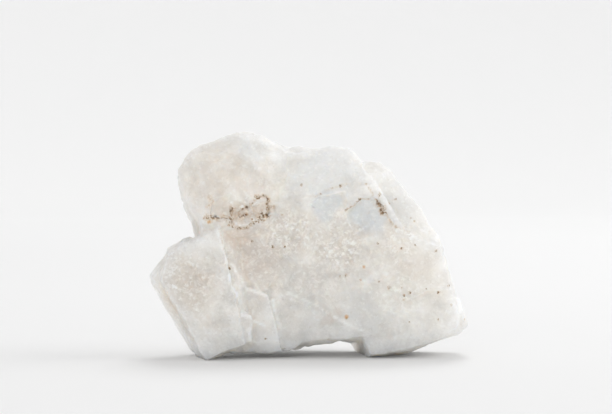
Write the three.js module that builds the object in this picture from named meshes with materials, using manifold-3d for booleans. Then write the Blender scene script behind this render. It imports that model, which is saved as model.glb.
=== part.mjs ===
// Rough calcite: one broken cleavage fragment, standing on the flat spots worn on the tips of two ledges.
// Millimetres, +Z up, seen from -Y. The origin is the middle of the stone's box, on the surface it stands on.

import * as THREE from "three";
import { ImprovedNoise } from "three/addons/math/ImprovedNoise.js";
import { mergeVertices } from "three/addons/utils/BufferGeometryUtils.js";
import Module from "manifold-3d";

const wasm = await Module();
wasm.setup();

// Driving dimensions
const stoneWidth = 70; // left tip to right tip
const drawnWidth = 70; // the stone's width in the outlines below
const wideCorner = 101.9; // degrees, the wide corner of a calcite cleavage face
const ledgeRise = 21; // degrees, slope of the edges that rise to the right
const frontLean = 4; // degrees, the front face leans towards the viewer

// Longest facet edge on each kind of surface, and how far the facets stand in and out
const cleavageFacet = 4.6;
const fractureFacet = 2.6;
const crustFacet = 1.4;
const fractureRelief = 0.6;
const cleavageRelief = 0.07;

// The three cleavage edge directions: rising to the right, falling to the right, and inwards.
// They meet at the lower left corner of the front face, all at the wide corner angle.
const degrees = Math.PI / 180;
const inPlane = (angle) => new THREE.Vector3(Math.cos(angle), 0, Math.sin(angle));
const rising = inPlane(ledgeRise * degrees);
const falling = inPlane((ledgeRise + wideCorner) * degrees).negate();
const bisector = rising.clone().sub(falling).normalize();
const share = Math.cos(wideCorner * degrees) / bisector.dot(rising);
const inward = bisector.multiplyScalar(share).add(new THREE.Vector3(0, Math.sqrt(1 - share * share), 0));
const scale = stoneWidth / drawnWidth;
const cleavage = new THREE.Matrix4()
  .makeBasis(new THREE.Vector3(1, 0, 0), new THREE.Vector3(0, 0, 1), inward.clone().negate())
  .premultiply(new THREE.Matrix4().makeRotationX(frontLean * degrees))
  .premultiply(new THREE.Matrix4().makeScale(scale, scale, scale));

// A point of the stone, from how far right and up it lies on the front plane and how deep behind it
const place = ([right, up, depth]) => new THREE.Vector3(right, up, -depth).applyMatrix4(cleavage);

// An outline that turns at every step from one edge direction of the front face to the other:
// the moves are lengths along the rising edge and the falling edge by turns
function steps([right, up], moves) {
  const outline = [[right, up]];
  moves.forEach((length, turn) => {
    const edge = turn % 2 === 0 ? rising : falling;
    right += edge.x * length;
    up += edge.z * length;
    outline.push([right, up]);
  });
  return outline;
}

// The chunks that the stone is made of, grown together. Outlines are [right, up] on the front plane,
// depths are measured inwards along the third edge, and every facet is a flat break through three
// points [right, up, depth].
const leftBlock = {
  outline: [
    [-22.5, 0], [-17.8, 2.4], [-14, 3.6], [-12, 8], [-12.6, 17], [-14.4, 28], [-17.6, 32.6], [-23.6, 32.4],
    [-23.9, 27.8], [-25.2, 26.9], [-27.6, 25.8], [-30.6, 24.4], [-31, 22.4], [-33, 19.2], [-31, 15.4], [-27.7, 9.8],
    [-25.2, 4.9], [-24, 1.9],
  ],
  depth: [0, 12],
  facets: [
    [[-19.3, 28.6, 0], [-15.6, 11, 0], [-17.3, 20, 1]],
    [[-31.4, 20.6, 0], [-31.1, 22.6, 0.8], [-34.6, 17.6, 12]],
    [[-31, 23, 0], [-24, 26.6, 0], [-27, 26.4, 1.2]],
    [[-25, -0.4, 6.4], [-14, 3.8, 6.4], [-19, 8, 13]],
  ],
};
const leftStep = {
  outline: [
    [-23.9, 1.3], [-18, 4], [-18, 20], [-24, 27.6], [-26, 28.2], [-30.3, 26.6], [-30.7, 24.7], [-32.6, 22.6],
    [-33.8, 21.2], [-34.5, 19.6], [-31.2, 13.3], [-26.8, 6],
  ],
  depth: [5.2, 12],
  facets: [
    [[-34.2, 18.6, 5.2], [-30.9, 22.8, 5.2], [-34.2, 21, 9]],
    [[-25, -0.4, 6.4], [-14, 3.8, 6.4], [-19, 8, 13]],
  ],
};
const leftToe = {
  outline: [[-18.6, 2.1], [-14.7, 3.9], [-12.5, 4.3], [-12.6, 10.2], [-14.2, 11], [-17.6, 9]],
  depth: [0.45, 9],
  facets: [[[-13, 10, 0.45], [-12.8, 4, 0.45], [-12.3, 7, 1.2]]],
};
const strip = {
  outline: [
    [-17, 9], [-11.2, 9.4], [-10.2, 13], [-12, 17.4], [-14, 22], [-15.2, 28], [-16.6, 30.6], [-20, 30], [-21, 20],
  ],
  depth: [1.15, 8],
  facets: [
    [[-16.9, 28.4, 1.15], [-15.9, 21.9, 1.15], [-15.4, 26, 2.4]],
    [[-14.6, 19.1, 1.15], [-12.5, 14.5, 1.15], [-12.2, 17.6, 2.4]],
  ],
};
const panel = {
  outline: [
    [-15, 4.4], [-12, 4.3], [-5.2, 4.2], [-5.4, 6.6], [-6.4, 9.4], [-7.2, 12.2], [-7.8, 14.2], [-8.3, 15.4],
    [-10.7, 15.8], [-13.2, 17], [-15, 14],
  ],
  depth: [2.1, 9],
  facets: [
    [[-8.1, 14, 2.1], [-6.8, 9.2, 2.1], [-6.8, 11.8, 3]],
    [[-13.2, 16.4, 2.1], [-8.9, 15, 2.1], [-10.8, 16, 2.7]],
  ],
};
const middleFoot = {
  outline: [
    [-17.8, 2.8], [-16.4, 2.4], [-14, 2.5], [-12, 2.6], [-10.2, 2.4], [-8.2, 2.3], [-6.4, 2.7], [-4.6, 2.8],
    [-3.6, 3.1], [-2.4, 3.7], [-1.3, 4.6], [-1.6, 6.6], [-6, 7.6], [-17, 7],
  ],
  depth: [2.5, 7.4],
  facets: [[[-11, 5, 2.5], [-3, 5.6, 2.5], [-7, 2.8, 3.2]]],
};
const mainFace = {
  outline: [
    [-20, 6], [-12, 5], [-1.4, 4.5], [1.2, 4.9], [3.4, 5.2], [5.6, 5.5], [8.8, 5.5], [14, 6], [24, 5.4], [31, 7],
    [33.4, 9.4], [33.6, 12.4], [32, 16.4], [30.9, 20], [29.9, 23.2], [28.9, 25.4], [24.6, 27.2], [21.6, 28.4],
    [19.4, 32], [16.4, 37], [12.8, 42.2], [11.4, 46.2], [10.4, 47.7], [9.2, 48.5], [5.2, 49], [1.8, 49],
    [-1.6, 49.2], [-5.6, 49.9], [-12, 48], [-19, 45], [-23, 40], [-23.4, 31], [-21.4, 24], [-20, 14],
  ],
  depth: [2.9, 14],
  facets: [
    [[-6.9, 35.8, 2.9], [8.6, 38.8, 2.9], [1, 49.2, 10.8]],
    [[-6.8, 34.8, 2.9], [-0.6, 36, 2.9], [-4.6, 42, 6.6]],
    [[28.4, 25.4, 2.9], [31.2, 16.3, 2.9], [31.6, 22, 6]],
    [[30.6, 17.6, 2.9], [32.2, 9.2, 2.9], [33.8, 13.4, 6.4]],
  ],
};
const core = {
  outline: [
    [-26.4, 12.4], [-22.6, 7.4], [-14, 8.4], [-3, 8], [6, 9.2], [14, 8.6], [24, 9.6], [30.2, 12.6], [30.8, 18],
    [28.2, 25.2], [24.6, 31.4], [21, 36.6], [14.8, 41.4], [8.4, 45.6], [-1, 47.8], [-9, 48.4], [-16, 46.8],
    [-21.6, 42.6], [-25.4, 36.4], [-24.2, 30], [-25.2, 24.4], [-28, 19.6],
  ],
  depth: [9, 19],
  facets: [
    [[-8, 47.6, 12], [8, 45.6, 12], [0, 44, 19]],
    [[-20, 37, 19], [6, 41, 19], [-8, 47.5, 12]],
    [[12, 38, 19], [25, 22, 19], [26, 34, 11]],
    [[-26, 10, 14], [-14, 8, 19], [-24, 22, 19]],
    [[8, 10, 19], [28, 14, 19], [18, 8, 13]],
  ],
};
const lobe = {
  outline: [
    [-23.6, 28.6], [-18, 27.4], [-12.6, 27.6], [-8.6, 29.6], [-6.2, 33], [-4.6, 40], [-4.2, 49.2], [-5.4, 49.7],
    [-8.4, 50.8], [-10.9, 51.6], [-13.7, 52.1], [-15.6, 51.6], [-19.3, 50.2], [-22.6, 48.8], [-24.8, 47.5],
    [-26.6, 45.8], [-28, 43.7], [-27.5, 40], [-26.6, 36.8], [-25.5, 34.2], [-24, 31.8],
  ],
  depth: [0.9, 17],
  facets: [
    [[-24, 33.4, 1.1], [-10, 34.4, 1.1], [-16, 43.4, 3.1]],
    [[-24, 43, 3.2], [-9, 44, 3.4], [-14, 52, 9.2]],
    [[-23.6, 31.4, 1.4], [-23.6, 44, 3.2], [-27.8, 41, 7.4]],
    [[-11.4, 33.6, 1.2], [-12, 46, 4.7], [-6, 40, 5.3]],
    [[-10.4, 51.6, 9.6], [-4.8, 49.4, 10.2], [-10.6, 45, 4.9]],
    [[-12.8, 31, 0.9], [-9.4, 34, 1.3], [-8.2, 29.6, 2.9]],
    [[-20, 29.2, 0.9], [-12.4, 29.4, 0.9], [-15, 27.6, 2.1]],
    [[-24, 46, 17], [-8, 48, 17], [-15, 52, 11]],
  ],
};
const rightFoot = {
  outline: [
    [11.9, 5.9], [13.4, 1.8], [16.2, 2.1], [20, 2.9], [23, 3.4], [26.1, 4.2], [29, 5.4], [31.2, 6.4], [34.4, 8],
    [35.6, 9.8], [34.7, 12.4], [33.6, 14.8], [25.4, 16.6], [17, 15.4], [11.4, 12.4], [9.6, 8.6],
  ],
  depth: [3.7, 18],
  facets: [
    [[31, 7, 3.7], [29.6, 16, 3.7], [35.6, 9.8, 8]],
    [[18, 3.2, 18], [32, 8, 18], [26, 3.8, 12]],
  ],
};
const shoulder = {
  outline: [
    [10, 34], [17.5, 26], [29, 23], [29.4, 26.6], [28.6, 29], [27.2, 31.4], [25.6, 34.4], [23.8, 37.4], [21.7, 40.2],
    [20, 42], [18.7, 44], [16.6, 45.2], [12.1, 45.3], [10.8, 46.2], [8.6, 47.6], [7.4, 42],
  ],
  depth: [3.3, 15],
  facets: [
    [[11.8, 41.2, 3.7], [18.4, 31, 3.7], [20.4, 42, 8.4]],
    [[18.4, 31.6, 3.7], [22, 27.4, 3.7], [27.4, 31, 8.4]],
    [[8.6, 42.4, 6.2], [16, 40, 5.2], [13, 45.4, 8.8]],
    [[12, 44, 15], [24, 32, 15], [19.6, 43.6, 10]],
  ],
};
const rightWedge = {
  outline: [[19, 27.6], [22, 24], [29.4, 22.6], [29.7, 25.4], [29, 27.8], [27.4, 31], [24, 32.6]],
  depth: [2.9, 10],
  facets: [
    [[21.2, 28.2, 3], [28.4, 25.2, 3], [27.4, 31, 7.6]],
    [[28.3, 25.4, 2.9], [30.4, 18, 2.9], [30.4, 25.4, 6.4]],
  ],
};

// Cleavage steps on the back, with edges along the same two directions as the front
const backPlate = {
  outline: steps([-19, 17], [10, -7, 24, 5, 6, 17, -12, 1, -17]),
  depth: [16, 21.2],
  facets: [
    [[-10, 30, 21.2], [6, 33, 21.2], [-2, 35, 18.4]],
    [[-18, 19, 19.4], [-8, 10.4, 20.4], [-6, 14, 21.2]],
  ],
};
const backStep = {
  outline: steps([-8, 18], [5, -5, 12, 4, 7, 8, -10, 2, -11]),
  depth: [20, 23],
  facets: [[[10, 26, 22.4], [17, 20, 22.2], [9, 21, 23]]],
};

// Pieces broken out of the front: an outline, and three points of the floor that the break left
const brokenOut = [
  {
    outline: [[0, 34.6], [2, 36.2], [5.6, 36.9], [7.4, 37.4], [8.4, 34.8], [6.7, 32.4], [3.3, 32.4]],
    floor: [[0, 32.4, 2.9], [7, 32.4, 2.9], [5.6, 36.9, 4.1]],
  },
  {
    outline: [
      [8, 33.3], [9.9, 34.3], [11.4, 35.8], [13.2, 36], [14.8, 35.8], [16.4, 33.5], [18.3, 30.9], [18.9, 28.5],
      [16.2, 27.2], [11.9, 27.2], [9.3, 29.6],
    ],
    floor: [[9, 28, 2.9], [19, 27.4, 3.1], [14, 36, 4.5]],
  },
  {
    outline: [
      [-4.7, 22.2], [-1.5, 20.9], [3.3, 20.4], [8.2, 18.9], [11.5, 17.8], [16.9, 17], [19.3, 15.7], [21, 14.1],
      [22.8, 13.9], [25.6, 15.7], [34, 16.2], [36, 2], [10, 3], [4, 10], [-1.5, 13.2], [-9.2, 15.9],
    ],
    floor: [[0, 20, 3.08], [22, 15, 3.28], [12, 6, 3.3]],
  },
  {
    outline: [[-9.2, 15.9], [-4.7, 14.3], [-1.5, 13.2], [3.3, 10.6], [8.3, 6.9], [11.6, 4], [6, 3], [-6, 3]],
    floor: [[-8.4, 15, 2.95], [8.3, 6.9, 3.2], [-2, 5, 3.9]],
  },
  {
    outline: [[-17, 30.4], [-21.4, 32.4], [-20.6, 35.8], [-16.4, 36.4], [-13.4, 34.6], [-13.8, 31.6]],
    floor: [[-21, 31, 1.9], [-14, 31, 1.5], [-17, 36, 2.1]],
  },
  {
    outline: [[-12.4, 31.4], [-13, 34.4], [-9.4, 35.6], [-8.2, 33.4], [-9.4, 31.2]],
    floor: [[-13, 31, 1.7], [-9, 31, 2.6], [-10.6, 36, 2.5]],
  },
];

// Zones of broken, uneven surface: middle as [right, up, depth], reach, and roughness beside a full fracture
const crust = { middle: [-15, 33, 1.5], reach: 7, rough: 1.2 };
const unevenZones = [
  crust,
  { middle: [-16, 43, 4], reach: 13, rough: 0.55 },
  { middle: [-15, 42, 16], reach: 12, rough: 0.9 },
  { middle: [-2, 28, 3], reach: 9, rough: 0.55 },
  { middle: [19, 38, 7], reach: 10, rough: 0.6 },
  { middle: [34, 13, 8], reach: 9, rough: 0.8 },
  { middle: [27, 6, 12], reach: 12, rough: 0.7 },
  { middle: [4, 5, 15], reach: 13, rough: 0.9 },
  { middle: [0, 47, 15], reach: 15, rough: 0.9 },
  { middle: [20, 34, 17], reach: 13, rough: 0.8 },
  { middle: [-24, 26, 18], reach: 13, rough: 0.9 },
];

// A closed geometry as a solid, with the vertices that it repeats merged
function solid(geometry) {
  const bare = new THREE.BufferGeometry().setAttribute("position", geometry.getAttribute("position"));
  bare.setIndex(geometry.index);
  const merged = mergeVertices(bare, 1e-4);
  const vertProperties = new Float32Array(merged.attributes.position.array);
  const triVerts = new Uint32Array(merged.index.array);
  return new wasm.Manifold(new wasm.Mesh({ numProp: 3, vertProperties, triVerts }));
}

// A slab between two cleavage planes, with the given outline on both
function slab(outline, [front, back]) {
  const shape = new THREE.Shape(outline.map(([right, up]) => new THREE.Vector2(right, up)));
  const geometry = new THREE.ExtrudeGeometry(shape, { depth: back - front, bevelEnabled: false });
  geometry.translate(0, 0, -back);
  return solid(geometry.applyMatrix4(cleavage));
}

// The middle of an outline, at the given depth
function middleOf(outline, depth) {
  const box = new THREE.Box2().setFromPoints(outline.map(([right, up]) => new THREE.Vector2(right, up)));
  const { x, y } = box.getCenter(new THREE.Vector2());
  return place([x, y, depth]);
}

// All that lies beyond the plane through three points, seen from a point inside the stone
function beyond(points, inside) {
  const reach = 3 * stoneWidth;
  const plane = new THREE.Plane().setFromCoplanarPoints(...points.map(place));
  if (plane.distanceToPoint(inside) > 0) plane.negate();
  const geometry = new THREE.BoxGeometry(reach, reach, reach);
  geometry.translate(0, 0, reach / 2);
  geometry.applyQuaternion(new THREE.Quaternion().setFromUnitVectors(new THREE.Vector3(0, 0, 1), plane.normal));
  const foot = plane.projectPoint(inside, new THREE.Vector3());
  return solid(geometry.translate(foot.x, foot.y, foot.z));
}

function chunkSolid({ outline, depth, facets }) {
  const inside = middleOf(outline, (depth[0] + depth[1]) / 2);
  return facets.reduce((chunk, facet) => chunk.subtract(beyond(facet, inside)), slab(outline, depth));
}

function brokenPiece({ outline, floor }) {
  return slab(outline, [-3, 9]).intersect(beyond(floor, middleOf(outline, 12)));
}

// The stone as it cleaved: chunks grown together, then the pieces that broke out of its front
function cleavedStone() {
  const chunks = [
    leftBlock, leftStep, leftToe, strip, panel, middleFoot, mainFace, core, lobe, rightFoot, shoulder,
    rightWedge, backPlate, backStep,
  ];
  const joined = chunks.map(chunkSolid).reduce((stone, chunk) => stone.add(chunk));
  return brokenOut.reduce((stone, piece) => stone.subtract(brokenPiece(piece)), joined);
}

// Splits every triangle edge that is longer than limit(middle of the edge) once
function splitLongEdges(points, faces, limit) {
  const middles = new Map();
  const halfway = (i, j) => {
    const key = i < j ? `${i},${j}` : `${j},${i}`;
    if (!middles.has(key)) {
      const middle = points[i].clone().add(points[j]).multiplyScalar(0.5);
      const tooLong = points[i].distanceTo(points[j]) > limit(middle);
      middles.set(key, tooLong ? points.push(middle) - 1 : -1);
    }
    return middles.get(key);
  };
  return faces.flatMap(([a, b, c]) => {
    const [ab, bc, ca] = [halfway(a, b), halfway(b, c), halfway(c, a)];
    const turned = [[a, b, c, ab, bc, ca], [b, c, a, bc, ca, ab], [c, a, b, ca, ab, bc]];
    const cuts = [ab, bc, ca].filter((middle) => middle >= 0).length;
    if (cuts === 0) return [[a, b, c]];
    if (cuts === 3) return [[a, ab, ca], [ab, b, bc], [ca, bc, c], [ab, bc, ca]];
    if (cuts === 1) {
      const [p, q, r, pq] = turned.find((corners) => corners[3] >= 0);
      return [[p, pq, r], [pq, q, r]];
    }
    const [p, q, r, pq, qr] = turned.find((corners) => corners[5] < 0);
    return [[pq, q, qr], [p, pq, qr], [p, qr, r]];
  });
}

// Where two triangles lie in one plane, draws their shared edge the other way if that makes them less thin
function evenOut(points, faces) {
  const angle = (corner, i, j) => {
    const toI = points[i].clone().sub(points[corner]);
    return toI.angleTo(points[j].clone().sub(points[corner]));
  };
  const normalOf = ([a, b, c]) => new THREE.Triangle(points[a], points[b], points[c]).getNormal(new THREE.Vector3());
  for (let turns = 1; turns > 0; ) {
    turns = 0;
    const normals = faces.map(normalOf);
    const sides = new Map();
    faces.forEach(([a, b, c], face) => {
      sides.set(`${a},${b}`, [a, b, c, face]).set(`${b},${c}`, [b, c, a, face]).set(`${c},${a}`, [c, a, b, face]);
    });
    const done = new Set();
    for (const [a, b, tip, face] of sides.values()) {
      const [, , far, other] = sides.get(`${b},${a}`);
      const settled = a > b || done.has(face) || done.has(other) || sides.has(`${tip},${far}`);
      if (settled || sides.has(`${far},${tip}`) || normals[face].dot(normals[other]) < 0.99999) continue;
      if (angle(tip, a, b) + angle(far, a, b) <= Math.PI + 1e-4) continue;
      faces[face] = [a, far, tip];
      faces[other] = [far, b, tip];
      done.add(face).add(other);
      turns += 1;
    }
  }
}

// How broken the surface is at a point: 0 on a clean cleavage face, 1 on a full fracture
function unevenness(point) {
  let rough = 0;
  for (const zone of unevenZones) {
    const away = point.distanceTo(place(zone.middle)) / (zone.reach * scale);
    rough = Math.max(rough, zone.rough * THREE.MathUtils.smoothstep(1 - away, 0, 0.45));
  }
  return rough;
}

// Longest facet edge at a point
function facetLength(point) {
  if (point.distanceTo(place(crust.middle)) < crust.reach * scale) return crustFacet * scale;
  return THREE.MathUtils.lerp(cleavageFacet, fractureFacet, Math.min(1, unevenness(point))) * scale;
}

// Moves a point of a broken surface in or out, by wide waves with finer lumps on them
const noise = new ImprovedNoise();
function weather(point) {
  const relief = scale * THREE.MathUtils.lerp(cleavageRelief, fractureRelief, unevenness(point));
  const wave = (size, seed) => noise.noise(point.x / size + seed, point.y / size - seed, point.z / size + 2 * seed);
  const along = (seed) => relief * (wave(7.5, seed) * 1.5 + wave(2.9, seed + 40) * 0.9);
  return point.clone().add(new THREE.Vector3(along(3.7), along(11.3), along(23.9)));
}

// The same stone with its surface in small facets, weathered where it is broken
function weathered(stone) {
  const mesh = stone.getMesh();
  const corner = (i) => new THREE.Vector3().fromArray(mesh.vertProperties, i * mesh.numProp);
  const points = Array.from({ length: mesh.numVert }, (_, i) => corner(i));
  let faces = Array.from({ length: mesh.numTri }, (_, i) => [...mesh.triVerts.subarray(3 * i, 3 * i + 3)]);
  for (let before = 0; before < faces.length; ) {
    before = faces.length;
    evenOut(points, faces);
    faces = splitLongEdges(points, faces, facetLength);
  }
  const geometry = new THREE.BufferGeometry().setFromPoints(points.map(weather));
  return solid(geometry.setIndex(faces.flat()));
}

// All that would lie below the surface that the stone stands on
function ground() {
  const reach = 3 * stoneWidth;
  return solid(new THREE.BoxGeometry(reach, reach, reach).translate(0, 0, -reach / 2));
}

function calciteGeometry() {
  const mesh = weathered(cleavedStone()).subtract(ground()).getMesh();
  const corners = Array.from({ length: mesh.numVert }, (_, i) => {
    return new THREE.Vector3().fromArray(mesh.vertProperties, i * mesh.numProp);
  });
  const geometry = new THREE.BufferGeometry().setFromPoints(corners);
  geometry.setIndex([...mesh.triVerts]);
  geometry.computeBoundingBox();
  const middle = geometry.boundingBox.getCenter(new THREE.Vector3());
  geometry.translate(-middle.x, -middle.y, 0);
  geometry.computeVertexNormals();
  return geometry;
}

const calcite = new THREE.MeshStandardMaterial({ color: 0xdcd8d2, roughness: 0.42, metalness: 0 });

const stone = new THREE.Mesh(calciteGeometry(), calcite);
stone.name = "calcite";

const roughCalcite = new THREE.Group();
roughCalcite.add(stone);

export default roughCalcite;
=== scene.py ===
import math

import bmesh
import bpy
import numpy as np
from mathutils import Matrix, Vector, noise
from mathutils.bvhtree import BVHTree


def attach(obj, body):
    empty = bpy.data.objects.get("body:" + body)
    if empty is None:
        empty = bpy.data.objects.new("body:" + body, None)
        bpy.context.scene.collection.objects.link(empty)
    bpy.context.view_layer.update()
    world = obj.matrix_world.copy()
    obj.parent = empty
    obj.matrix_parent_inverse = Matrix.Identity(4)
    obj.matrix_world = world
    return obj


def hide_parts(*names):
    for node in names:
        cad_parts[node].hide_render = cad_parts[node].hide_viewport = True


# Rough calcite: a milky cleavage fragment with rust in its cracks, on a pale studio sweep.
# Sizes are in millimetres in the stone's dictionaries and in metres everywhere else.

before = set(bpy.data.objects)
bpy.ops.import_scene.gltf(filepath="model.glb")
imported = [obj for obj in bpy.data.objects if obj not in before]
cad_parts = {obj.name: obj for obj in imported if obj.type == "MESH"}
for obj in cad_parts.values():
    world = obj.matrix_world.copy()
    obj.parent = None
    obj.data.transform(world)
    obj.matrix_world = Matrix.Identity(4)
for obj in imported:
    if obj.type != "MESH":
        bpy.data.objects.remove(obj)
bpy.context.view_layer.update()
millimetre = 0.001


# sRGB hex to the linear numbers that shaders take
def linear(hexColour):
    parts = [int(hexColour[i:i + 2], 16) / 255 for i in (1, 3, 5)]
    return [c / 12.92 if c <= 0.04045 else ((c + 0.055) / 1.055) ** 2.4 for c in parts] + [1]


def addNode(tree, kind, inputs=None, **settings):
    node = tree.nodes.new("ShaderNode" + kind)
    for name, value in settings.items():
        setattr(node, name, value)
    for name, value in (inputs or {}).items():
        socket = node.inputs[name]
        if isinstance(value, bpy.types.Node):
            value = next(output for output in value.outputs if output.enabled)
        if isinstance(value, bpy.types.NodeSocket):
            tree.links.new(value, socket)
        else:
            socket.default_value = value
    return node


# The calcite's three cleavage edges, as in the solid: rising and falling on the front face, and inwards
crystal = {
    "wideCorner": 101.9,  # degrees, the wide corner of a cleavage face
    "ledgeRise": 21,      # degrees, slope of the edges that rise to the right
    "frontLean": 4,       # degrees, lean of the front face towards the viewer
}


def cleavageEdges(ledgeRise, wideCorner, frontLean):
    rise, wide, lean = (math.radians(a) for a in (ledgeRise, wideCorner, frontLean))
    right = np.array((1.0, 0.0, 0.0))
    up = np.array((0.0, -math.sin(lean), math.cos(lean)))
    away = np.array((0.0, math.cos(lean), math.sin(lean)))
    rising = math.cos(rise) * right + math.sin(rise) * up
    falling = -math.cos(rise + wide) * right - math.sin(rise + wide) * up
    bisector = (rising - falling) / np.linalg.norm(rising - falling)
    share = math.cos(wide) / bisector.dot(rising)
    inward = bisector * share + away * math.sqrt(1 - share * share)
    return rising, falling, inward


def unit(vector):
    return vector / np.linalg.norm(vector)


rising, falling, inward = cleavageEdges(crystal["ledgeRise"], crystal["wideCorner"], crystal["frontLean"])
frontNormal = unit(np.cross(rising, falling))
sideNormal = unit(np.cross(falling, inward))
ledgeNormal = unit(np.cross(inward, rising))

# The stone's fine surface. A pair of waves is (size in mm, share)
surface = {
    "halvings": 8,           # of the box that the mesh's cells fill
    "boxShare": 0.72,        # share of that box that the stone takes up, for cells of about 0.4 mm
    "meshCell": 0.4,         # mm
    "markHalvings": 2,       # of the cells at the rust marks, down to 0.1 mm
    "levelBelow": 0.15,      # mm, the flats that the stone stands on stay level up to here
    "cleanWithin": 11,       # degrees from a cleavage plane that still count as a clean cleavage face
    "cleanBorder": (0.4, 1.3),   # shares of those degrees between which clean turns into broken
    "blendBroken": 8,        # rounds of smoothing between clean and broken faces
    "grainBroken": 0.7,      # how broken the grainy places are
    "softenBroken": 4,       # rounds of smoothing that take the facets out of the broken surface
    "edgeWear": 1,           # rounds of smoothing along the sharp edges
    "edgeWearShare": 0.6,
    "brokenRelief": 0.36,    # mm
    "cleanShare": 0.12,      # share of that relief on the clean faces
    "brokenWaves": ((4.2, 0.8), (1.8, 0.6), (0.9, 0.45)),
    "crumbRelief": 0.16,     # mm, crystals standing out of the grainy band
    "crumbSize": 1.3,        # mm
    "crumbGap": 0.45,        # share of a crystal's size
    "stepDepth": 0.16,       # mm, small cleavage steps on the clean faces
    "stepCells": ((8.0, 11.0), (2.6, 6.0), (4.5, 1.9)),   # mm, along the rising and the falling edge
    "stepLayer": 3.1,        # mm, inwards
    "stepBends": 5,          # mm, size of the bends in a step's edge
    "bendShare": (0.22, 0.12),   # how far the edge bends along the rising and the falling edge, in cells
    "stepFrays": 1.1,        # mm
    "frayShare": 0.10,
    "stepsWornOff": 0.8,     # share that the steps lose where the stone is broken
    "edgeRounds": 6,         # rounds of smoothing that the surface is set against to find its sharp edges
    "edgeStandsOut": (0.03, 0.2),   # mm, from a blunt edge to a sharp one
    "chipDepth": 0.35,       # mm, chips along the sharp edges
    "chipWaves": ((1.6, 1.0), (0.7, 0.6)),
    "rustPit": 0.12,         # mm, how deep the rust-filled holes lie
    "sharpAngle": 38,        # degrees, edges sharper than this are not shaded smooth
}

# Places on the front, as (right, up) in mm. Amounts: warm or cool tint, white frosting and painted light, grain,
# grey clear depth and edges kept free of white; border is the share of the reach over which a place fades out, and
# plainBorder the usual one
zones = {
    "lobe": {"at": (-20.2, 39.1), "reach": 15, "warm": 0.65, "grey": 0.1},
    "lobeTop": {"at": (-13.7, 46.6), "reach": 7, "cool": 0.6, "white": 0.15},
    "lobeFoot": {"at": (-12.5, 37.5), "reach": 8, "warm": 0.55, "grey": 0.15},
    "topFace": {"at": (3.5, 42.2), "reach": 12, "cool": 0.7, "white": 0.35},
    "leftHollow": {"at": (4.1, 34.1), "reach": 4.2, "cool": 0.95, "grey": 0.95, "border": 0.35},
    "rightHollow": {"at": (13.4, 31.8), "reach": 5.2, "cool": 1.0, "grey": 0.55, "border": 0.35},
    "shoulder": {"at": (20.5, 35.0), "reach": 10, "cool": 0.4, "grey": 1.0},
    "band": {"at": (6.5, 25.4), "reach": 9, "grain": 1.0, "white": 0.1, "warm": 0.2, "grey": 0.35},
    "bandLeft": {"at": (-4.0, 27.6), "reach": 8, "grain": 1.0, "white": 0.1, "warm": 0.25, "grey": 0.35},
    "bandRight": {"at": (20.0, 25.2), "reach": 7, "grain": 0.7, "white": 0.25, "warm": 0.3},
    "rightFace": {"at": (23.2, 19.4), "reach": 10, "warm": 0.35, "grey": 0.4},
    "speckled": {"at": (20.0, 15.0), "reach": 7, "white": 0.5, "grain": 0.6},
    "belowBand": {"at": (0.0, 17.5), "reach": 6, "grey": 0.3, "grain": 0.4},
    "lowerFace": {"at": (12.4, 10.6), "reach": 8.5, "grey": 0.4, "cool": 0.3},
    "middleFace": {"at": (0.5, 10.6), "reach": 7, "grey": 0.45, "cool": 0.2},
    "rightFoot": {"at": (27.0, 8.2), "reach": 7, "warm": 0.2, "white": 0.4},
    # part broken bevel, part painted highlight: white where the rim catches the light from the right
    "rightRim": {"at": (33.0, 12.0), "reach": 5, "white": 0.9},
    "leftBlock": {"at": (-26.8, 17.0), "reach": 11, "warm": 0.6, "grey": 0.65, "grain": 0.8},
    "leftBlockFoot": {"at": (-23.0, 7.0), "reach": 7, "warm": 0.35, "white": 0.1},
    "strip": {"at": (-17.2, 17.0), "reach": 5, "white": 0.1, "grain": 0.3},
    "panel": {"at": (-11.0, 9.0), "reach": 7, "warm": 0.4, "white": 0.2},
    "faceLeft": {"at": (-11.5, 22.5), "reach": 10, "warm": 0.6, "grey": 0.75, "grain": 0.45},
    "middleFoot": {"at": (-7.0, 3.0), "reach": 4.5, "white": 0.5},
    "crust": {"at": (-13.5, 32.4), "reach": 6.5, "warm": 0.7, "grain": 0.8, "white": 0.25},
    "underCrust": {"at": (-15.3, 27.0), "reach": 3.2, "warm": 1.0, "grey": 0.8, "border": 0.4},
    "blockStain": {"at": (-22.9, 19.2), "reach": 3.2, "warm": 1.0, "grey": 0.9},
    "darkFlake": {"at": (5.0, 9.3), "reach": 2.0, "warm": 0.6, "grey": 1.0, "border": 0.4},
    "blockSide": {"at": (-31.5, 12.0), "reach": 6, "warm": 0.8, "grey": 0.9},
    # painted light: white that lightens the right foot's side facet, which lies in shade
    "footSide": {"at": (10.5, 3.4), "reach": 3.0, "white": 1.0},
    "crustChips": {"at": (-16.8, 35.2), "reach": 2.9, "white": 0.6, "border": 0.5},
    # takes the white, frost and painted highlight, off the sharp edges beside the crack
    "crackSide": {"at": (16.5, 33.5), "reach": 9, "unbruised": 1.0},
}

plainBorder = 0.75
borderWander = {"size": 4.5, "reach": 2.4}   # mm

# Tones of the broken back, drifting over it in mm-sized waves
backTones = {"warm": 0.7, "grey": 0.8, "grain": 0.8, "cool": 0.5}
backDrift = {"wide": 8, "narrow": 3, "border": (-0.5, 0.4), "fadeIn": 5}
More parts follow.
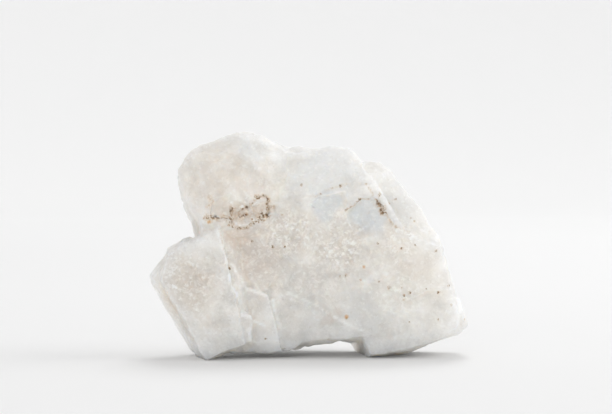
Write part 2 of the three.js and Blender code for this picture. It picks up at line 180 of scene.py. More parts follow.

# White lines along the ledge edges as (right, up) in mm: painted highlights where the ledges catch the light,
# partly bruised white
ledgeLines = {
    "riser": {"path": [(-19.5, 28.2), (-17.8, 22.7), (-16.2, 20.6), (-14.7, 18.0), (-13.1, 15.3)],
              "width": 0.45, "strength": 0.9},
    "panelTop": {"path": [(-13.1, 15.3), (-10.7, 14.7), (-8.9, 14.1), (-7.6, 12.9)],
                 "width": 0.45, "strength": 0.9},
    "panelSide": {"path": [(-7.6, 12.9), (-6.9, 9.3), (-5.9, 6.3)], "width": 0.4, "strength": 0.7},
    "strip": {"path": [(-17.8, 22.5), (-16.8, 17.4), (-15.5, 14.4), (-14.2, 9.8), (-12.7, 9.6), (-11.7, 8.5),
                       (-9.4, 7.5)], "width": 0.45, "strength": 1.0},
    "stripFoot": {"path": [(-12.0, 10.8), (-12.8, 6.8), (-12.7, 4.7)], "width": 0.4, "strength": 0.7},
    "lowerLedge": {"path": [(-4.4, 14.6), (1.6, 11.9), (4.2, 10.4), (6.4, 8.9), (9.7, 7.0), (12.4, 6.0)],
                   "width": 0.4, "strength": 0.7},
    "hollowTop": {"path": [(1.9, 35.4), (4.6, 36.0), (7.2, 36.6)], "width": 0.4, "strength": 0.3},
}

# how the painted ledge highlights break up, in waves of (size in mm, share)
ledgeBreakup = {"waves": ((1.3, 1.0), (0.6, 0.5)), "border": 0.9}

# Iron rust: lines of marks as (right, up) in mm, with the width of the stained band and how strong it is
rustLines = {
    "crustRimUpper": {"path": [(-11.3, 35.3), (-10.0, 35.6), (-8.9, 35.3), (-8.7, 34.2), (-8.7, 33.1),
                               (-7.8, 33.3)],
                      "width": 0.75, "strength": 1.0},
    "crustRimLower": {"path": [(-22.0, 31.2), (-20.7, 31.0), (-19.2, 31.1), (-18.0, 31.1)],
                      "width": 0.9, "strength": 1.0},
    "crustRing": {"path": [(-16.5, 33.1), (-16.7, 32.0), (-16.7, 30.8), (-16.2, 29.5), (-15.1, 28.6), (-13.4, 28.8),
                           (-12.1, 29.7), (-10.6, 30.8), (-9.4, 31.6), (-8.7, 32.9)],
                  "width": 0.8, "strength": 0.9},
    "crustRingTop": {"path": [(-10.0, 32.1), (-12.1, 32.1), (-13.4, 31.8), (-14.7, 31.2), (-15.2, 32.2),
                              (-14.1, 32.9), (-12.5, 33.6), (-11.5, 34.9)],
                     "width": 0.6, "strength": 0.75},
    "crustBlob": {"path": [(-10.0, 31.4), (-9.1, 31.6), (-10.8, 30.4)], "width": 1.1, "strength": 1.0},
    "crustInside": {"path": [(-16.0, 31.4), (-13.0, 31.0), (-9.6, 32.6)], "width": 2.4, "strength": 0.4},
    "crustLeft": {"path": [(-21.2, 35.1), (-20.9, 34.2), (-21.4, 33.6)], "width": 0.8, "strength": 0.6},
    "crack": {"path": [(12.5, 38.3), (13.8, 36.3), (14.7, 34.8), (15.5, 33.7), (16.4, 32.2), (17.5, 30.7),
                       (18.1, 30.0), (19.2, 28.9)],
              "width": 0.4, "strength": 0.7},
    "crackHeart": {"path": [(15.3, 34.0), (15.9, 33.3), (16.5, 32.2)], "width": 1.2, "strength": 1.0},
    "crackBranch": {"path": [(14.7, 34.8), (15.3, 35.7), (15.5, 36.3)], "width": 0.4, "strength": 0.9},
    "crackTail": {"path": [(19.2, 28.9), (20.7, 28.5), (22.1, 27.9)], "width": 0.35, "strength": 0.4},
    "hollowRim": {"path": [(7.9, 32.7), (9.0, 33.1), (9.9, 33.5), (11.2, 34.8), (12.1, 35.0), (13.2, 35.0)],
                  "width": 0.4, "strength": 0.75},
    "riser": {"path": [(-19.2, 28.5), (-18.6, 26.3), (-17.7, 23.0), (-17.0, 20.1)],
              "width": 0.35, "strength": 0.35},
    "ridge": {"path": [(0.6, 35.7), (1.9, 35.7), (3.0, 36.1), (5.3, 37.4), (6.9, 37.8), (8.2, 38.3)],
              "width": 0.6, "strength": 0.25},
    "underArch": {"path": [(2.6, 3.9), (4.3, 4.1), (6.1, 3.4), (8.3, 3.9)], "width": 0.4, "strength": 0.5},
}

# How rust breaks up at its borders, in waves of (size in mm, share), and where it turns dark
rustBreak = {
    "waves": ((0.9, 1.0), (0.4, 0.7)),
    "lineSpread": 1.15,      # share of a line's width
    "lineFray": 0.45,
    "lineBorder": 0.9,
    "speckSpread": 0.95,     # share of a speck's size
    "speckFray": 0.4,
    "speckBorder": 0.6,
    "speckEnd": 1.6,
    "darkWaves": (0.7, 0.5),
    "darkBorder": (0.62, 1.05),
    "pitWidth": 0.6,         # share of the stained width that is pitted
}

# Single rust specks: (right, up, size) in mm
rustSpecks = [
    (-1.4, 38.0, 0.5), (1.8, 35.7, 0.35), (2.7, 36.1, 0.3), (5.3, 37.4, 0.3), (6.9, 37.8, 0.5), (15.9, 33.5, 0.6),
    (11.2, 34.9, 0.55), (17.6, 34.0, 0.35), (17.9, 30.0, 0.35), (19.1, 34.9, 0.3), (22.4, 30.8, 0.3),
    (23.1, 30.1, 0.3), (-5.7, 31.6, 0.3), (-7.7, 24.6, 0.4), (-5.1, 24.7, 0.35), (-17.0, 20.1, 0.45),
    (8.2, 18.5, 0.45), (6.9, 18.3, 0.3), (11.4, 17.3, 0.25), (14.5, 17.3, 0.25), (15.4, 17.0, 0.4),
    (17.6, 15.8, 0.6), (20.8, 13.9, 0.35), (20.8, 13.1, 0.3), (22.1, 14.6, 0.5), (20.4, 15.7, 0.3),
    (25.6, 15.4, 0.25), (28.2, 14.6, 0.45), (27.7, 23.7, 0.4), (30.6, 16.1, 0.35), (28.3, 8.8, 0.3),
    (31.2, 11.9, 0.3), (8.3, 9.0, 0.45), (22.0, 8.2, 0.3), (20.3, 24.4, 0.3), (15.0, 25.3, 0.3),
    (23.1, 25.0, 0.25), (-1.8, 2.9, 0.5), (-9.2, 4.5, 0.35), (-10.2, 30.4, 0.5), (-17.0, 29.3, 0.45),
    (-21.4, 30.1, 0.45), (34.3, 8.4, 0.35), (-12.1, 30.8, 0.3), (-22.0, 31.4, 0.3), (-12.2, 25.9, 0.3),
]
ochreSpecks = [(-21.4, 30.1, 0.55), (8.3, 9.3, 0.6), (12.1, 20.3, 0.35)]

# The same kind of marks on the back
backCrack = {"path": [(-9.0, 24.5), (-5.5, 26.0), (-1.5, 26.5), (2.5, 28.5)], "width": 0.5, "strength": 0.7}
backSpecks = [
    (-18.0, 30.5, 0.5), (-15.5, 28.0, 0.35), (-6.0, 36.0, 0.4), (4.0, 29.0, 0.5), (7.5, 27.2, 0.35),
    (12.0, 21.0, 0.45), (-3.0, 17.0, 0.35), (18.5, 15.5, 0.4), (-22.0, 14.0, 0.4), (1.5, 11.0, 0.45),
    (23.0, 24.0, 0.35),
]


# Smooth noise at each point, about -1 to 1, in waves of a size in mm
def waves(points, size, seed):
    shift = Vector((seed, -1.7 * seed, 2.3 * seed))
    return np.array([noise.noise(Vector(p) / (size * millimetre) + shift) for p in points])


def smoothStep(values, low, high):
    t = np.clip((values - low) / (high - low), 0, 1)
    return t * t * (3 - 2 * t)


# The solid's faces as an even, fine mesh that keeps its sharp cleavage edges
def fineCopy(node, name):
    piece = bpy.data.objects.new(name, node.data.copy())
    bpy.context.scene.collection.objects.link(piece)
    shell = bmesh.new()
    shell.from_mesh(piece.data)
    bmesh.ops.remove_doubles(shell, verts=shell.verts, dist=0.001 * millimetre)
    shell.to_mesh(piece.data)
    shell.free()
    even = piece.modifiers.new("even", "REMESH")
    even.mode = "SHARP"
    even.octree_depth = surface["halvings"]
    even.scale = surface["boxShare"]
    even.sharpness = 1
    even.use_remove_disconnected = False
    shown = piece.evaluated_get(bpy.context.evaluated_depsgraph_get())
    mesh = bpy.data.meshes.new_from_object(shown)
    piece.modifiers.clear()
    piece.data = mesh
    mesh.name = name
    return piece


# Where marks given as (right, up) lie on the front of the stone, or with side 1 on its back
def onFace(skin, spots, side=-1):
    placed = []
    for right, up in spots:
        outside = Vector((right * millimetre, 0.1 * side, up * millimetre))
        hit = skin.ray_cast(outside, Vector((0, -side, 0)))[0]
        if hit is None:
            hit = skin.find_nearest(Vector((right * millimetre, 0, up * millimetre)))[0]
        placed.append(hit)
    return placed


def placedSpecks(skin, spots, side=-1):
    return list(zip(onFace(skin, [spot[:2] for spot in spots], side), [spot[2] for spot in spots]))


def nearestOnPath(points, path):
    away = np.full(len(points), 1.0)
    for a, b in zip(path, path[1:]):
        a, b = np.array(a), np.array(b)
        along = np.clip(((points - a) @ (b - a)) / max((b - a) @ (b - a), 1e-12), 0, 1)
        away = np.minimum(away, np.linalg.norm(points - a - along[:, None] * (b - a), axis=1))
    return away


def readVectors(rows, name):
    values = np.empty(len(rows) * 3, np.float32)
    rows.foreach_get(name, values)
    return values.reshape(-1, 3).astype(float)


def smoothed(values, edges, rounds, weight):
    count = np.bincount(edges.ravel(), minlength=len(values)).clip(1)
    for _ in range(rounds):
        total = np.zeros_like(values)
        for axis in range(values.shape[1]):
            total[:, axis] = np.bincount(edges[:, 0], values[edges[:, 1], axis], len(values))
            total[:, axis] += np.bincount(edges[:, 1], values[edges[:, 0], axis], len(values))
        values = values + weight[:, None] * 0.5 * (total / count[:, None] - values)
    return values


def meshEdges(mesh):
    edges = np.empty(len(mesh.edges) * 2, np.int32)
    mesh.edges.foreach_get("vertices", edges)
    return edges.reshape(-1, 2)


# Halves the mesh's edges near the rust marks, which are finer than the rest
def refineAtMarks(mesh, marks):
    for halving in range(surface["markHalvings"]):
        cell = surface["meshCell"] / 2 ** halving
        fine = bmesh.new()
        fine.from_mesh(mesh)
        fine.verts.ensure_lookup_table()
        points = readVectors(mesh.vertices, "co")
        near = np.zeros(len(points), bool)
        for path, reach in marks:
            near |= nearestOnPath(points, path) < reach + 0.5 * cell * millimetre
        edges = [e for e in fine.edges if near[e.verts[0].index] and near[e.verts[1].index]]
        bmesh.ops.subdivide_edges(fine, edges=edges, cuts=1, use_grid_fill=True)
        bmesh.ops.triangulate(fine, faces=[f for f in fine.faces if len(f.verts) > 4])
        fine.to_mesh(mesh)
        fine.free()


calcite = fineCopy(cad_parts["calcite"], "calcite_surface")
print("fine copy:", len(calcite.data.vertices), "points")

skin = BVHTree.FromObject(calcite, bpy.context.evaluated_depsgraph_get())
for mark in (*rustLines.values(), *ledgeLines.values()):
    mark["placed"] = onFace(skin, mark["path"])
specks = placedSpecks(skin, rustSpecks) + placedSpecks(skin, backSpecks, side=1)
ochres = placedSpecks(skin, ochreSpecks)
for zone in zones.values():
    zone["placed"] = onFace(skin, [zone["at"]])[0]

marks = [(mark["placed"], mark["width"] * millimetre) for mark in rustLines.values()]
marks += [([spot, spot], size * millimetre) for spot, size in specks + ochres]
refineAtMarks(calcite.data, marks)
# the crack on the back is broad enough for the mesh as it is
rustLines["backCrack"] = {**backCrack, "placed": onFace(skin, backCrack["path"], side=1)}
print("refined at the rust marks:", len(calcite.data.vertices), "points,", len(calcite.data.polygons), "faces")


# How far a point's surface is from the nearest cleavage plane's slope, as 0 (clean face) to 1 (broken)
def brokenness(normals):
    planes = np.stack((frontNormal, sideNormal, ledgeNormal))
    slope = np.degrees(np.arccos(np.clip(np.abs(normals @ planes.T).max(axis=1), 0, 1)))
    low, high = surface["cleanBorder"]
    return smoothStep(slope, low * surface["cleanWithin"], high * surface["cleanWithin"])


def cleavageSteps(points, cell, seed):
    along = points @ np.linalg.inv(np.stack((rising, falling, inward)))
    right, down = cell
    bends = waves(points, surface["stepBends"], seed)
    frays = waves(points, surface["stepFrays"], seed + 1)
    bendRight, bendDown = surface["bendShare"]
    height = [noise.cell(Vector((p[0] / (right * millimetre) + bendRight * bend + surface["frayShare"] * fray,
                                 p[1] / (down * millimetre) + bendDown * bend,
                                 p[2] / (surface["stepLayer"] * millimetre) + seed)))
              for p, bend, fray in zip(along, bends, frays)]
    return np.clip((np.array(height) - 0.5) / 0.5, 0, 1)


# Small crystals crowded together: 1 on a crystal's middle, 0 in the gaps
def crumbs(points, size, seed):
    shift = Vector((seed, seed, seed))
    near = np.array([noise.voronoi(Vector(p) / (size * millimetre) + shift)[0][:2] for p in points])
    return smoothStep(near[:, 1] - near[:, 0], 0.0, surface["crumbGap"])


def carveSurface(mesh):
    edges = meshEdges(mesh)
    points = readVectors(mesh.vertices, "co")
    normals = readVectors(mesh.vertex_normals, "vector")
    every = np.ones(len(points))
    ground = points[:, 2] < surface["levelBelow"] * millimetre
    broken = smoothed(brokenness(normals)[:, None], edges, surface["blendBroken"], every)[:, 0]
    grainy = zoneAmount(points, "grain")
    broken = np.where(ground, 0, np.clip(np.maximum(broken, surface["grainBroken"] * grainy), 0, 1))
    softened = smoothed(points, edges, surface["softenBroken"], broken)
    softened = smoothed(softened, edges, surface["edgeWear"], np.where(ground, 0, surface["edgeWearShare"]))
    relief = np.zeros(len(points))
    for size, share in surface["brokenWaves"]:
        relief += share * waves(softened, size, 3.1 * size)
    relief *= surface["brokenRelief"] * (surface["cleanShare"] + broken)
    relief += surface["crumbRelief"] * grainy * (crumbs(softened, surface["crumbSize"], 3) - 0.5)
    for cell, seed in zip(surface["stepCells"], (2.0, 5.0, 8.0)):
        steps = cleavageSteps(softened, cell, seed)
        relief -= surface["stepDepth"] * steps * (1 - surface["stepsWornOff"] * broken)
    wide = smoothed(points, edges, surface["edgeRounds"], every)
    sharpness = ((points - wide) * normals).sum(axis=1) / millimetre
    edge = smoothStep(sharpness, *surface["edgeStandsOut"])
    chips = sum(share * waves(softened, size, seed) for (size, share), seed in zip(surface["chipWaves"], (31, 32)))
    relief -= surface["chipDepth"] * edge * np.clip(chips, 0, 1)
    relief -= surface["rustPit"] * rustAmount(points, rustBreak["pitWidth"])[0]
    relief[ground] = 0
    softened += normals * (relief * millimetre)[:, None]
    softened[ground] = points[ground]
    softened[:, 2] = np.maximum(softened[:, 2], 0)
    mesh.vertices.foreach_set("co", softened.astype(np.float32).ravel())
    mesh.update()
    return points, broken, edge


# How much of one kind of tone the zones give each point, with wandering borders
def zoneAmount(points, tone):
    amount = np.zeros(len(points))
    wander = np.stack([waves(points, borderWander["size"], seed) for seed in (11, 12, 13)], axis=1)
    wander = wander * borderWander["reach"] * millimetre
    for zone in zones.values():
        if tone in zone:
            away = np.linalg.norm(points + wander - np.array(zone["placed"]), axis=1) / (zone["reach"] * millimetre)
            amount = np.maximum(amount, zone[tone] * smoothStep(1 - away, 0, zone.get("border", plainBorder)))
    if tone in backTones:
        behind = smoothStep(points[:, 1] / millimetre, 0, backDrift["fadeIn"])
        seed = len(tone)
        drift = waves(points, backDrift["wide"], 50 + seed) + 0.5 * waves(points, backDrift["narrow"], 60 + seed)
        amount = np.maximum(amount, backTones[tone] * behind * smoothStep(drift, *backDrift["border"]))
    return amount


# Rust at each point: how stained, how dark, and how ochre, broken up as rust is in a grainy crack
def rustAmount(points, lineWidth=1.0):
    ragged = sum(share * waves(points, size, seed) for (size, share), seed in zip(rustBreak["waves"], (21, 22)))
    frayed = rustBreak["speckFray"] * ragged
    border, end = rustBreak["speckBorder"], rustBreak["speckEnd"]
    stain, ochre = np.zeros(len(points)), np.zeros(len(points))
    for mark in rustLines.values():
        away = nearestOnPath(points, mark["placed"]) / (mark["width"] * millimetre)
        spread = 1 - away / (rustBreak["lineSpread"] * lineWidth) + rustBreak["lineFray"] * ragged
        stain = np.maximum(stain, mark["strength"] * smoothStep(spread, 0, rustBreak["lineBorder"]))
    for spot, size in specks:
        away = np.linalg.norm(points - np.array(spot), axis=1) / (rustBreak["speckSpread"] * size * millimetre)
        stain = np.maximum(stain, smoothStep(1 - away / lineWidth + frayed, 0, border) * (away < end))
    for spot, size in ochres:
        away = np.linalg.norm(points - np.array(spot), axis=1) / (size * millimetre)
        ochre = np.maximum(ochre, smoothStep(1 - away + frayed, 0, border) * (away < end))
    size, share = rustBreak["darkWaves"]
    dark = smoothStep(stain + share * waves(points, size, 23), *rustBreak["darkBorder"])
    return stain, dark, ochre


# Painted highlight along the ledge edges, partly bruised white, broken here and there
def ledgeAmount(points):
    lineBreakup = sum(share * waves(points, size, seed) for (size, share), seed in zip(ledgeBreakup["waves"], (41, 42)))
    amount = np.zeros(len(points))
    for line in ledgeLines.values():
        away = nearestOnPath(points, line["placed"]) / (line["width"] * millimetre)
        amount = np.maximum(amount, line["strength"] * smoothStep(1 - away + lineBreakup, 0, ledgeBreakup["border"]))
    return amount


def keep(mesh, name, values):
    mesh.attributes.new(name, "FLOAT", "POINT").data.foreach_set("value", values.astype(np.float32))


restPoints, broken, edge = carveSurface(calcite.data)
stain, dark, ochre = rustAmount(restPoints)
keep(calcite.data, "broken", broken)
# white along the sharp edges: partly bruised frost, partly a painted highlight
keep(calcite.data, "edge", edge * (1 - zoneAmount(restPoints, "unbruised")))
keep(calcite.data, "ledge", ledgeAmount(restPoints))
keep(calcite.data, "stain", stain)
keep(calcite.data, "dark", dark)
keep(calcite.data, "ochre", ochre)
for tone in ("warm", "cool", "white", "grain", "grey"):
    keep(calcite.data, tone, zoneAmount(restPoints, tone))
calcite.data.shade_smooth()
calcite.data.set_sharp_from_angle(angle=math.radians(surface["sharpAngle"]))
print("surface carved")

# Milky calcite, cleaved and broken: white fractures and veils hang in greyer clear crystal, the cleavage faces have
# a satin gloss and the broken ones are dull; light goes some millimetres in and comes out softer and warmer.
# A band says at which value of its noise a pattern starts (1) and is full (2).
milkyCalcite = {
    "milk": "#F8F6F2",
    "clearGrey": "#DBD9D5",
    "warmTint": "#E9DDD2",
    "pore": "#CAC4BB",
    "coolTint": "#E2E6E9",
    "whiteFrostAndHighlight": "#FDFDFA",
    # white of the frost, also used for the painted glints and highlights
    "rust": "#BE9D70",
    "darkRust": "#7D6340",
    "ochre": "#D8AC74",
    "veilSize": 5.0,       # mm
    "flawSize": 2.4,       # mm
    "streakSize": 0.8,     # mm
    "streakStretch": (1.0, 0.12, 0.5),   # long down the falling edge, thin across it
    "crumbSize": 0.75,     # mm
    "clumpSize": 0.6,      # mm
    "poreSize": 0.9,       # mm
    "grainSize": 0.45,     # mm; the real grain is near 0.1 mm, drawn coarser so that it shows
    "rustSize": 0.45,      # mm
    "bendSize": 2.2,       # mm, size of the bends in the flaws and in the crumbs
    "flawBend": 1.6,       # mm, how far the flaws bend off the cleavages
    "crumbBend": 1.1,      # mm
    "bands": {
        "veil": {1: 0.27, 2: 0.73}, "flaws": {1: 0.2, 2: 0.95}, "streak": {1: 0.54, 2: 0.68},
        "clumps": {1: 0.38, 2: 0.6}, "crumb": {1: 0.35, 2: 1.0}, "glint": {1: 0.88, 2: 0.93},
        "pores": {1: 0.42, 2: 0.33},
    },
    "bodyLayers": (("flaws", 0.35, "milk"), ("grey", 0.7, "clearGrey"), ("warm", 0.6, "warmTint"),
                   ("cool", 0.85, "coolTint"), ("pores", 0.3, "pore")),
    # white frost, and painted highlights: the glints, and in part the ledge lines and sharp edges
    "frostAndHighlightLayers": (("white", 0.6), ("ledge", 0.85), ("streak", 0.15), ("glint", 0.22), ("edge", 0.3)),
    # rust, broken by noise: band, then the least (3) and the most (4) of the stain that shows
    "rustLayers": (("stain", {1: 0.42, 2: 0.60, 3: 0.2, 4: 0.85}, "rust"),
                   ("dark", {1: 0.46, 2: 0.56, 3: 0.0, 4: 1.0}, "darkRust"),
                   ("ochre", {1: 0.0, 2: 0.5, 3: 0.6, 4: 0.7}, "ochre")),
    "dulling": (("crumb", 0.08), ("stain", 0.25)),
    # from the plain places (3) to the grainy or broken ones (4)
    "gapShare": {3: 0.10, 4: 0.5},
    "crumbShare": {3: 0.15, 4: 0.75},
    "fineHeight": {3: 0.3, 4: 1.0},
    "crumbHeight": {3: 0.15, 4: 0.7},
    "flawHeight": 0.5,
    "streakHeight": 0.25,
    "lightDepth": 16.0,    # mm, how far light goes in before it turns
    "throughColour": (1.0, 0.90, 0.79),   # red goes furthest, so thin places are warm
    "clearness": {3: 0.0, 4: 0.10},   # share of the light that passes straight in, in milky and in clear places
    "ior": 1.6,            # between calcite's two, 1.49 and 1.66
    "polish": 0.36,
    "dull": 0.62,
    "relief": 0.14,        # mm, depth of the finest grain
}


def perMillimetre(size):
    return 1 / (size * millimetre)


def milkyCalciteMaterial(look):
    material = bpy.data.materials.new("milky_calcite")
    material.use_nodes = True
    tree = material.node_tree
    tree.nodes.clear()
    times, plus, minus = ({"operation": kind} for kind in ("MULTIPLY", "ADD", "SUBTRACT"))
    smooth = {"interpolation_type": "SMOOTHSTEP"}
    colour = {"data_type": "RGBA"}
    hues = {name: linear(look[name]) for name in
            ("milk", "clearGrey", "pore", "warmTint", "coolTint", "whiteFrostAndHighlight", "rust", "darkRust", "ochre")}
    bands = look["bands"]
    place = addNode(tree, "TexCoord").outputs["Object"]
    tone = {name: addNode(tree, "Attribute", attribute_name=name).outputs["Fac"]
            for name in ("broken", "edge", "ledge", "stain", "dark", "ochre",
                         "warm", "cool", "white", "grain", "grey")}

    # the position counted along the three cleavage normals, so that flaws run straight along the cleavages
    counted = [addNode(tree, "VectorMath", {0: place, 1: tuple(n)}, operation="DOT_PRODUCT").outputs["Value"]
               for n in (sideNormal, ledgeNormal, frontNormal)]
    lattice = addNode(tree, "CombineXYZ", dict(zip("XYZ", counted)))
    bends = addNode(tree, "TexNoise", {"Vector": place, "Scale": perMillimetre(look["bendSize"])}).outputs["Color"]
    bent = addNode(tree, "VectorMath", {0: bends, "Scale": look["flawBend"] * millimetre}, operation="SCALE")
    lattice = addNode(tree, "VectorMath", {0: lattice, 1: bent}, **plus)
    streaked = addNode(tree, "VectorMath", {0: lattice, 1: look["streakStretch"]}, **times)
    bent = addNode(tree, "VectorMath", {0: bends, "Scale": look["crumbBend"] * millimetre}, operation="SCALE")
    crumbled = addNode(tree, "VectorMath", {0: place, 1: bent}, **plus)

    clean = addNode(tree, "Math", {0: 1.0, 1: tone["broken"]}, use_clamp=True, **minus)
    veil = addNode(tree, "TexNoise", {"Vector": place, "Scale": perMillimetre(look["veilSize"]), "Detail": 5,
                                      "Roughness": 0.7})
    veil = addNode(tree, "MapRange", {0: veil, **bands["veil"]}, **smooth)
    flaws = addNode(tree, "TexVoronoi", {"Vector": lattice, "Scale": perMillimetre(look["flawSize"])},
                    distance="CHEBYCHEV").outputs["Color"]
    flaws = addNode(tree, "SeparateColor", {0: flaws})
    flaws = addNode(tree, "MapRange", {0: flaws, **bands["flaws"]}, **smooth)
    streak = addNode(tree, "TexNoise", {"Vector": streaked, "Scale": perMillimetre(look["streakSize"]), "Detail": 2,
                                        "Roughness": 0.55})
    streak = addNode(tree, "MapRange", {0: streak, **bands["streak"]}, **smooth)
    streak = addNode(tree, "Math", {0: streak, 1: clean}, **times)
    crystals = addNode(tree, "TexVoronoi", {"Vector": crumbled, "Scale": perMillimetre(look["crumbSize"])})
    crystals = addNode(tree, "SeparateColor", {0: crystals.outputs["Color"]})
    grains = addNode(tree, "TexVoronoi", {"Vector": crumbled, "Scale": perMillimetre(look["grainSize"])})
    grains = addNode(tree, "SeparateColor", {0: grains.outputs["Color"]})
    clumps = addNode(tree, "TexNoise", {"Vector": place, "Scale": perMillimetre(look["clumpSize"]), "Detail": 3,
                                        "Roughness": 0.7})
    clumps = addNode(tree, "MapRange", {0: clumps, **bands["clumps"]}, **smooth)
    crumb = addNode(tree, "MapRange", {0: crystals, **bands["crumb"]}, **smooth)
    crumb = addNode(tree, "Math", {0: crumb, 1: clumps}, **times)
    glint = addNode(tree, "MapRange", {0: grains, **bands["glint"]}, **smooth)
    pores = addNode(tree, "TexNoise", {"Vector": place, "Scale": perMillimetre(look["poreSize"]), "Detail": 4,
                                       "Roughness": 0.72})
    pores = addNode(tree, "MapRange", {0: pores, **bands["pores"]}, **smooth)
    masks = {**tone, "flaws": flaws, "streak": streak, "crumb": crumb, "glint": glint, "pores": pores}

    # body colour: milk over grey clear depth, then the warm and the cool places, then pores and gaps in the grain
    body = addNode(tree, "Mix", {0: veil, 6: hues["clearGrey"], 7: hues["milk"]}, **colour)
    for name, share, hue in look["bodyLayers"]:
        mask = addNode(tree, "Math", {0: masks[name], 1: share}, **times)
        body = addNode(tree, "Mix", {0: mask, 6: body, 7: hues[hue]}, **colour)
    gaps = addNode(tree, "Math", {0: 1.0, 1: grains}, **minus)
    gapShare = addNode(tree, "MapRange", {0: tone["grain"], **look["gapShare"]}, **smooth)
    gaps = addNode(tree, "Math", {0: gaps, 1: gapShare}, **times)
    body = addNode(tree, "Mix", {0: gaps, 6: body, 7: hues["pore"]}, **colour)

    # white: frosted crumbs, white places and streaks; painted glints; white on the ledge lines and sharp edges,
    # part bruised frost and part painted highlight; at the right rim and the foot's side the white is painted light
    crumbShare = addNode(tree, "MapRange", {0: tone["grain"], **look["crumbShare"]})
    frostAndHighlight = addNode(tree, "Math", {0: crumb, 1: crumbShare}, **times)
    for name, share in look["frostAndHighlightLayers"]:
        mask = addNode(tree, "Math", {0: masks[name], 1: share}, **times)
        frostAndHighlight = addNode(tree, "Math", {0: frostAndHighlight, 1: mask}, use_clamp=True, **plus)
    body = addNode(tree, "Mix", {0: frostAndHighlight, 6: body, 7: hues["whiteFrostAndHighlight"]}, **colour)

    # iron rust, broken into specks as it sits in the crumbled cracks
    ragged = addNode(tree, "TexNoise", {"Vector": place, "Scale": perMillimetre(look["rustSize"]), "Detail": 4,
                                        "Roughness": 0.75})
    for name, shown, hue in look["rustLayers"]:
        share = addNode(tree, "MapRange", {0: ragged, **shown}, **smooth)
        mask = addNode(tree, "Math", {0: tone[name], 1: share}, **times)
        body = addNode(tree, "Mix", {0: mask, 6: body, 7: hues[hue]}, **colour)

    gloss = addNode(tree, "MapRange", {0: tone["broken"], 3: look["polish"], 4: look["dull"]}, **smooth)
    for name, share in look["dulling"]:
        mask = addNode(tree, "Math", {0: masks[name], 1: share}, **times)
        gloss = addNode(tree, "Math", {0: gloss, 1: mask}, use_clamp=True, **plus)

    height = addNode(tree, "TexNoise", {"Vector": place, "Scale": perMillimetre(look["grainSize"]), "Detail": 4,
                                        "Roughness": 0.7})
    fineHeight = addNode(tree, "MapRange", {0: tone["broken"], **look["fineHeight"]}, **smooth)
    height = addNode(tree, "Math", {0: height, 1: fineHeight}, **times)
    crumbHeight = addNode(tree, "MapRange", {0: tone["grain"], **look["crumbHeight"]}, **smooth)
    for mask, share in ((flaws, look["flawHeight"]), (streak, look["streakHeight"]), (crystals, crumbHeight)):
        mask = addNode(tree, "Math", {0: mask, 1: share}, **times)
        height = addNode(tree, "Math", {0: height, 1: mask}, **plus)
    bump = addNode(tree, "Bump", {"Height": height, "Strength": 0.8, "Distance": look["relief"] * millimetre})

    # clear where there is neither white (frost and painted highlight) nor rust nor veil
    clear = addNode(tree, "Math", {0: 1.0, 1: frostAndHighlight}, **minus)
    for cover in (tone["stain"], veil):
        bare = addNode(tree, "Math", {0: 1.1, 1: cover}, use_clamp=True, **minus)
        clear = addNode(tree, "Math", {0: clear, 1: bare}, use_clamp=True, **times)
    passing = addNode(tree, "MapRange", {0: clear, **look["clearness"]}, **smooth)
    shader = addNode(tree, "BsdfPrincipled", {
        "Base Color": body, "Roughness": gloss, "IOR": look["ior"], "Normal": bump,
        "Subsurface Weight": 1.0, "Subsurface Radius": look["throughColour"],
        "Subsurface Scale": look["lightDepth"] * millimetre,
        "Transmission Weight": passing,
    })
    addNode(tree, "OutputMaterial", {"Surface": shader})
    return material


calcite.data.materials.clear()
calcite.data.materials.append(milkyCalciteMaterial(milkyCalcite))
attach(calcite, "root")
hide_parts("calcite")
print("stone dressed")

# Pale sweep: matt painted card, the same all round, so that every side of the stone has the same pale ground; its
# wall glows more towards the rim, painted light in place of lamps behind the stone
sweep = {
    "paint": "#F4F4F4",
    "flatRadius": 0.9,   # m
    "wallRadius": 1.6,   # m
    "wallHeight": 1.1,   # m
    "turns": 96,
    "bendSteps": 24,
    "wallGlow": 0.155,   # painted light: the wall glows as if studio lamps behind the stone lit it
    "glowFrom": 0.25,    # m from the middle
    "glowFull": 1.1,     # m
}


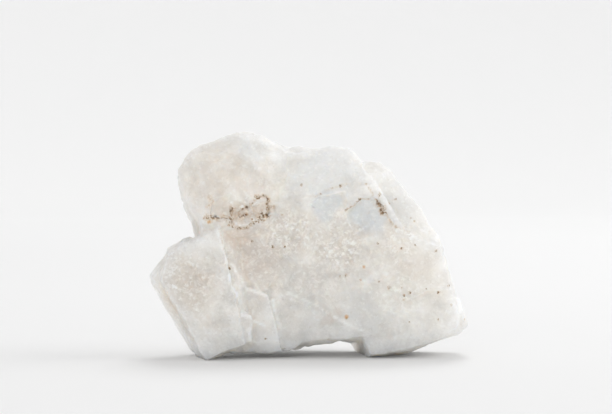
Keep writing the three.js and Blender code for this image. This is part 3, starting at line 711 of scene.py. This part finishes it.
def paleSweep(look):
    profile = [(0.0, 0.0), (look["flatRadius"], 0.0)]
    bend = look["wallRadius"] - look["flatRadius"]
    for i in range(1, look["bendSteps"] + 1):
        angle = math.radians(90) * i / look["bendSteps"]
        profile.append((look["flatRadius"] + bend * math.sin(angle), bend * (1 - math.cos(angle))))
    profile.append((look["wallRadius"], look["wallHeight"]))
    mesh = bpy.data.meshes.new("pale_sweep")
    turns = look["turns"]
    points = [(r * math.cos(2 * math.pi * t / turns), r * math.sin(2 * math.pi * t / turns), z)
              for r, z in profile[1:] for t in range(turns)]
    faces = [[ring * turns + t, (ring + 1) * turns + t, (ring + 1) * turns + (t + 1) % turns,
              ring * turns + (t + 1) % turns] for ring in range(len(profile) - 2) for t in range(turns)]
    faces.append(list(range(turns)))
    mesh.from_pydata(points, [], faces)
    mesh.shade_smooth()
    floor = bpy.data.objects.new("pale_sweep", mesh)
    bpy.context.scene.collection.objects.link(floor)
    paint = bpy.data.materials.new("matt_card_with_painted_glow")
    paint.use_nodes = True
    tree = paint.node_tree
    tree.nodes.clear()
    place = addNode(tree, "TexCoord").outputs["Object"]
    away = addNode(tree, "VectorMath", {0: place}, operation="LENGTH").outputs["Value"]
    paintedGlow = addNode(tree, "MapRange", {0: away, 1: look["glowFrom"], 2: look["glowFull"], 4: look["wallGlow"]},
                  interpolation_type="SMOOTHSTEP")
    card = addNode(tree, "BsdfDiffuse", {"Color": linear(look["paint"])})
    # painted light: the card glows, more towards its wall
    lamp = addNode(tree, "Emission", {"Color": linear("#FFFFFF"), "Strength": paintedGlow})
    both = addNode(tree, "AddShader", {0: card, 1: lamp})
    addNode(tree, "OutputMaterial", {"Surface": both})
    mesh.materials.append(paint)
    return floor


paleSweep(sweep)

# Light: a large soft light overhead, another from the right and a weak one in front, in an even glow all round
lights = {
    "soft_overhead": {"place": (0.10, 0.42, 0.95), "size": 0.55, "power": 2.6},    # m and W
    "key_from_right": {"place": (0.80, 0.0, 0.50), "size": 0.75, "power": 2.2},
    "soft_front": {"place": (-0.20, -1.1, 0.32), "size": 0.8, "power": 0.83},
}
glow = 0.58


def areaLight(name, place, size, power, target=(0, 0, 0.02)):
    light = bpy.data.lights.new(name, "AREA")
    light.shape = "DISK"
    light.size = size
    light.energy = power
    lamp = bpy.data.objects.new(name, light)
    lamp.location = place
    lamp.rotation_euler = (Vector(target) - Vector(place)).to_track_quat("-Z", "Y").to_euler()
    bpy.context.scene.collection.objects.link(lamp)


for name, light in lights.items():
    areaLight(name, **light)

room = bpy.data.worlds.new("studio_glow")
bpy.context.scene.world = room
room.use_nodes = True
room.node_tree.nodes["Background"].inputs["Color"].default_value = linear("#FFFFFF")
room.node_tree.nodes["Background"].inputs["Strength"].default_value = glow
bpy.context.scene.view_settings.view_transform = "Standard"

# The photo's viewing angle: a long lens at about the height of the stone's top, looking slightly down
view = {
    "place": (-0.0005, -0.3766, 0.04614),   # m
    "tilt": 88,          # degrees from straight down
    "lens": 100,         # mm
    "sensorWidth": 36,   # mm
    "clipStart": 0.01,   # m
}
camera = bpy.data.cameras.new("camera")
camera.lens = view["lens"]
camera.sensor_width = view["sensorWidth"]
camera.clip_start = view["clipStart"]
viewer = bpy.data.objects.new("camera", camera)
viewer.location = view["place"]
viewer.rotation_euler = (math.radians(view["tilt"]), 0, 0)
bpy.context.scene.collection.objects.link(viewer)
bpy.context.scene.camera = viewer

print("stage set")
